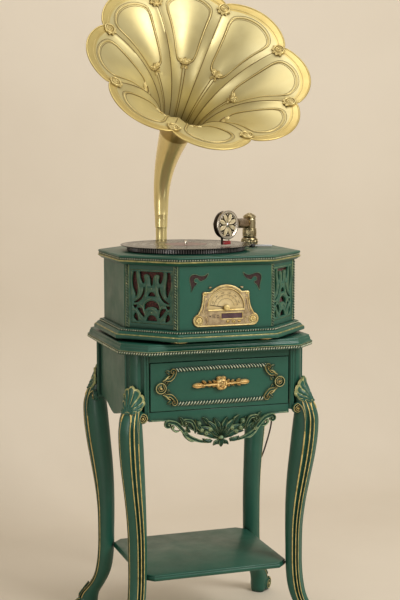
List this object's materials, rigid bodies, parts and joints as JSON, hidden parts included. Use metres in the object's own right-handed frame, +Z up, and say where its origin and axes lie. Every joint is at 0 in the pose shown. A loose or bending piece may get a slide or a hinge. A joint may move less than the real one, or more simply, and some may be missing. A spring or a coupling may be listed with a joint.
{
  "type": "gramophone on a drawer stand",
  "caption": "Floor-standing horn gramophone: petalled horn, tonearm and turntable on an octagonal case with tuner dial, on a cabriole-leg stand with drawer and shelf.",
  "frame": {"origin": "on the floor, under the centre of the stand, which is also under the centre of the whole object's outline", "axes": "+Z up, +X to the right as seen from the front, -Y towards the front, where the drawer and the dial are"},
  "size_m": [0.5774, 0.5602, 1.5117],
  "materials": {
    "green_paint": "satin painted wood with gilt lining",
    "wood": "bare wood",
    "gilt": "antique gilt",
    "brass": "polished brass, aged lacquer",
    "cream_brass": "pale champagne brass, satin",
    "dark_brass": "antique dark brass",
    "chrome": "polished",
    "record_black": "gloss pressed grooves",
    "black_plastic": "satin black",
    "cloth": "woven burgundy speaker cloth",
    "dial_paper": "printed scale",
    "display": "dark display window",
    "circuit_board": "etched board",
    "steel": "satin",
    "rubber": "matte",
    "red_plastic": "moulded",
    "cord": "brown sheath"
  },
  "bodies": {
    "stand_and_case": {"stand_top": "green_paint", "front_rail": "green_paint", "front_apron": "green_paint", "side_panel_left": "green_paint", "side_panel_right": "green_paint", "back_panel": "green_paint", "leg_front_left": "green_paint", "leg_front_right": "green_paint", "leg_back_left": "green_paint", "leg_back_right": "green_paint", "lower_shelf": "green_paint", "apron_carving": "green_paint", "case_base": "green_paint", "case_shell": "green_paint", "case_deck": "green_paint", "grille_left": "green_paint", "grille_right": "green_paint", "drawer_runner_left": "wood", "drawer_runner_right": "wood", "dial_escutcheon": "gilt", "case_foot_front_left": "brass", "case_foot_front_right": "brass", "case_foot_back_left": "brass", "case_foot_back_right": "brass", "horn_socket": "brass", "tonearm_base": "cream_brass", "centre_spindle": "chrome", "speaker_left": "black_plastic", "speaker_right": "black_plastic", "back_cover": "black_plastic", "grille_cloth_left": "cloth", "grille_cloth_right": "cloth", "grille_cloth_front": "cloth", "dial_plate": "dial_paper", "lcd_window": "display", "control_board": "circuit_board", "power_transformer": "steel", "drive_motor": "steel", "drive_belt": "rubber", "power_cord": "cord"},
    "drawer": {"drawer_front": "green_paint", "drawer_box": "wood", "drawer_ornament": "gilt", "drawer_pull": "gilt"},
    "turntable": {"platter": "steel", "record": "record_black"},
    "pulley": {"motor_pulley": "brass"},
    "tonearm_swivel": {"tonearm_elbow": "cream_brass", "arm_pivot_pin": "steel"},
    "tonearm": {"tonearm_tube": "dark_brass", "sound_box": "chrome", "stylus_cartridge": "red_plastic"},
    "horn": {"horn_tube": "brass", "horn_bell": "cream_brass"},
    "tuner": {"tuner_knob": "gilt"},
    "pointer": {"dial_pointer": "black_plastic"},
    "button_a": {"button_1": "gilt"},
    "button_b": {"button_2": "gilt"},
    "button_c": {"button_3": "gilt"},
    "lever": {"speed_lever": "chrome"}
  },
  "joints": [
    {"name": "drawer_slide", "type": "slide", "parent": "stand_and_case", "child": "drawer", "axis": [0, -1, 0], "range_m": [0, 0.2]},
    {"name": "platter_spin", "type": "hinge", "parent": "stand_and_case", "child": "turntable", "pos_m": [-0.031, -0.006, 0.9032], "axis": [0, 0, -1], "continuous": true},
    {"name": "motor_pulley_spin", "type": "hinge", "parent": "stand_and_case", "child": "pulley", "pos_m": [-0.09535, -0.03601, 0.904], "axis": [0, 0, -1], "continuous": true},
    {"name": "tonearm_swing", "type": "hinge", "parent": "stand_and_case", "child": "tonearm_swivel", "pos_m": [0.1608, 0.085, 0.922], "axis": [0, 0, 1], "range_deg": [-13, 25]},
    {"name": "tonearm_lift", "type": "hinge", "parent": "tonearm_swivel", "child": "tonearm", "pos_m": [0.1608, 0.085, 0.956], "axis": [-0.7447, 0.6674, 0], "range_deg": [0, 18]},
    {"name": "horn_swivel", "type": "hinge", "parent": "stand_and_case", "child": "horn", "pos_m": [-0.0385, 0.163, 0.906], "axis": [0, 0, 1], "range_deg": [-90, 90]},
    {"name": "tuner_turn", "type": "hinge", "parent": "stand_and_case", "child": "tuner", "pos_m": [0, -0.1912, 0.789], "axis": [0, 1, 0], "range_deg": [0, 480]},
    {"name": "pointer_sweep", "type": "hinge", "parent": "stand_and_case", "child": "pointer", "pos_m": [0, -0.1912, 0.789], "axis": [0, 1, 0], "range_deg": [0, 160.5]},
    {"name": "button_a_press", "type": "slide", "parent": "stand_and_case", "child": "button_a", "axis": [0, 1, 0], "range_m": [0, 0.0012]},
    {"name": "button_b_press", "type": "slide", "parent": "stand_and_case", "child": "button_b", "axis": [0, 1, 0], "range_m": [0, 0.0012]},
    {"name": "button_c_press", "type": "slide", "parent": "stand_and_case", "child": "button_c", "axis": [0, 1, 0], "range_m": [0, 0.0012]},
    {"name": "speed_lever_turn", "type": "hinge", "parent": "stand_and_case", "child": "lever", "pos_m": [0.1435, 0.0224, 0.902], "axis": [0, 0, 1], "range_deg": [-20, 20]}
  ],
  "couplings": [
    {"joint": "motor_pulley_spin", "follows": "platter_spin", "ratio": 6.25},
    {"joint": "pointer_sweep", "follows": "tuner_turn", "ratio": 0.33333}
  ]
}
